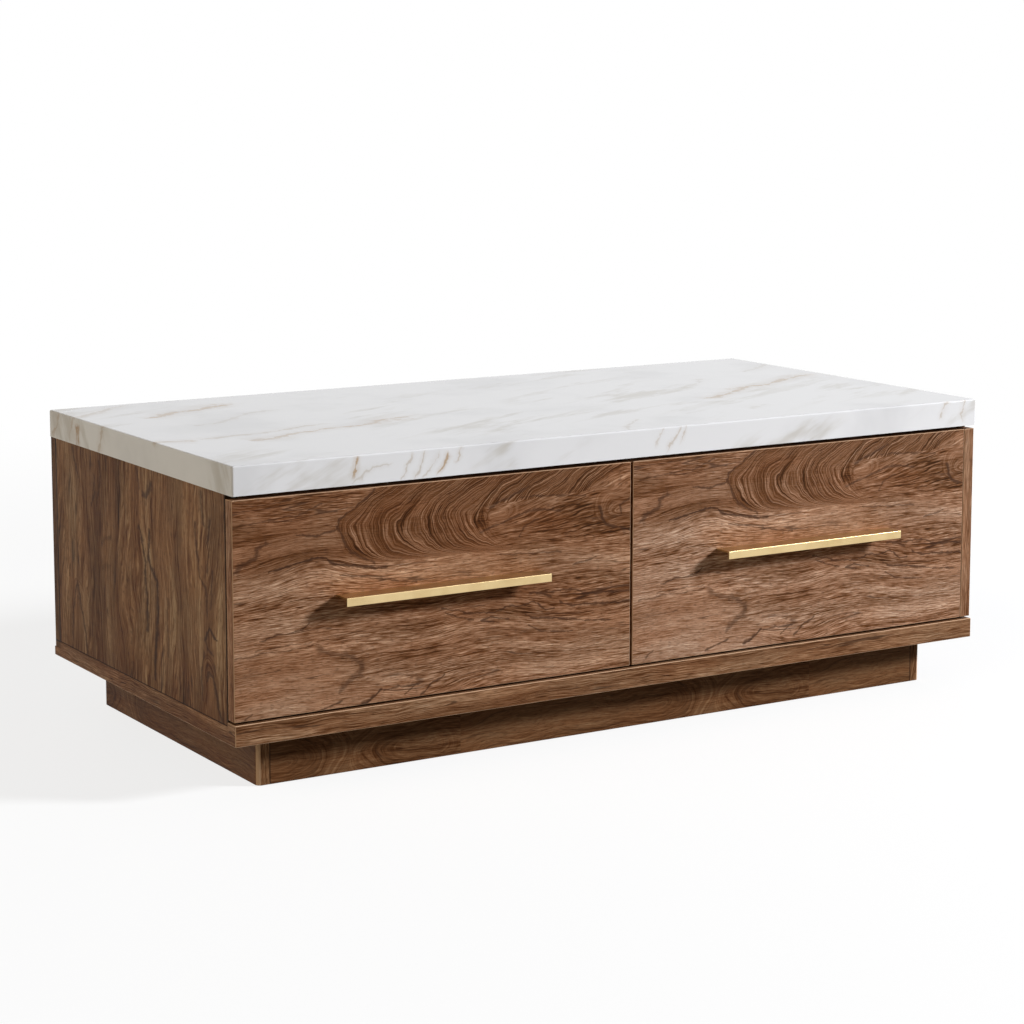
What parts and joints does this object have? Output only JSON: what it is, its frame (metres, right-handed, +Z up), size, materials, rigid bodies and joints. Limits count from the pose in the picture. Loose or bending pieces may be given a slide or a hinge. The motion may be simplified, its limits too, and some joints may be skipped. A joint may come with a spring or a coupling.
{
  "type": "coffee table",
  "caption": "Low rectangular coffee table: veined marble top over a walnut cabinet with drawers, angled brass pulls and a recessed plinth.",
  "frame": {"origin": "on the floor, under the middle of the table top, at the middle glide", "axes": "+X along the table to the right, the drawers open towards -Y, +Z up"},
  "size_m": [1.2, 0.626, 0.425],
  "materials": {
    "marble": "polished, white with grey and gold veins",
    "walnut_front": "satin walnut laminate, grain along the table",
    "walnut_panel": "satin walnut laminate, upright grain",
    "board_core": "raw board",
    "drawer_board": "matt light laminate",
    "beech": "raw beech",
    "brass": "satin brushed",
    "slide_steel": "zinc plated",
    "screw_steel": "yellow zinc plated",
    "cast_zinc": "raw die casting",
    "glide_plastic": "moulded",
    "bumper_plastic": "translucent soft pad"
  },
  "bodies": {
    "cabinet": {"marble_top": "marble", "top_core_board": "board_core", "left_side_panel": "walnut_panel", "right_side_panel": "walnut_panel", "centre_divider": "walnut_panel", "back_panel": "walnut_panel", "bottom_panel": "walnut_front", "front_top_rail": "walnut_front", "rear_top_rail": "walnut_front", "right_end_strip": "walnut_panel", "plinth_front_board": "walnut_front", "plinth_back_board": "walnut_front", "plinth_left_board": "walnut_front", "plinth_right_board": "walnut_front", "plinth_centre_rail": "board_core", "plinth_corner_blocks": "beech", "floor_glides": "glide_plastic", "carcass_dowels": "beech", "plinth_dowels": "beech", "confirmat_screws": "screw_steel", "cam_locks": "cast_zinc", "cam_bolts": "screw_steel", "top_fixing_screws": "screw_steel", "divider_screws": "screw_steel", "plinth_fixing_screws": "screw_steel", "cabinet_slide_screws": "screw_steel", "left_cabinet_slide_channels": "slide_steel", "right_cabinet_slide_channels": "slide_steel"},
    "left_drawer": {"left_drawer_front": "walnut_front", "left_drawer_box_front": "drawer_board", "left_drawer_box_back": "drawer_board", "left_drawer_left_side": "drawer_board", "left_drawer_right_side": "drawer_board", "left_drawer_bottom": "drawer_board", "left_drawer_dowels": "beech", "left_drawer_front_screws": "screw_steel", "left_drawer_handle": "brass", "left_drawer_handle_screws": "screw_steel", "left_drawer_bumpers": "bumper_plastic", "left_drawer_slide_channels": "slide_steel", "left_drawer_slide_screws": "screw_steel"},
    "left_middle_slides": {"left_middle_slide_channels": "slide_steel"},
    "right_drawer": {"right_drawer_front": "walnut_front", "right_drawer_box_front": "drawer_board", "right_drawer_box_back": "drawer_board", "right_drawer_left_side": "drawer_board", "right_drawer_right_side": "drawer_board", "right_drawer_bottom": "drawer_board", "right_drawer_dowels": "beech", "right_drawer_front_screws": "screw_steel", "right_drawer_handle": "brass", "right_drawer_handle_screws": "screw_steel", "right_drawer_bumpers": "bumper_plastic", "right_drawer_slide_channels": "slide_steel", "right_drawer_slide_screws": "screw_steel"},
    "right_middle_slides": {"right_middle_slide_channels": "slide_steel"}
  },
  "joints": [
    {"name": "left_drawer_slide", "type": "slide", "parent": "cabinet", "child": "left_drawer", "axis": [0, -1, 0], "range_m": [0, 0.45]},
    {"name": "left_middle_slide", "type": "slide", "parent": "cabinet", "child": "left_middle_slides", "axis": [0, -1, 0], "range_m": [0, 0.225]},
    {"name": "right_drawer_slide", "type": "slide", "parent": "cabinet", "child": "right_drawer", "axis": [0, -1, 0], "range_m": [0, 0.45]},
    {"name": "right_middle_slide", "type": "slide", "parent": "cabinet", "child": "right_middle_slides", "axis": [0, -1, 0], "range_m": [0, 0.225]}
  ],
  "couplings": [
    {"joint": "left_middle_slide", "follows": "left_drawer_slide", "ratio": 0.5},
    {"joint": "right_middle_slide", "follows": "right_drawer_slide", "ratio": 0.5}
  ]
}
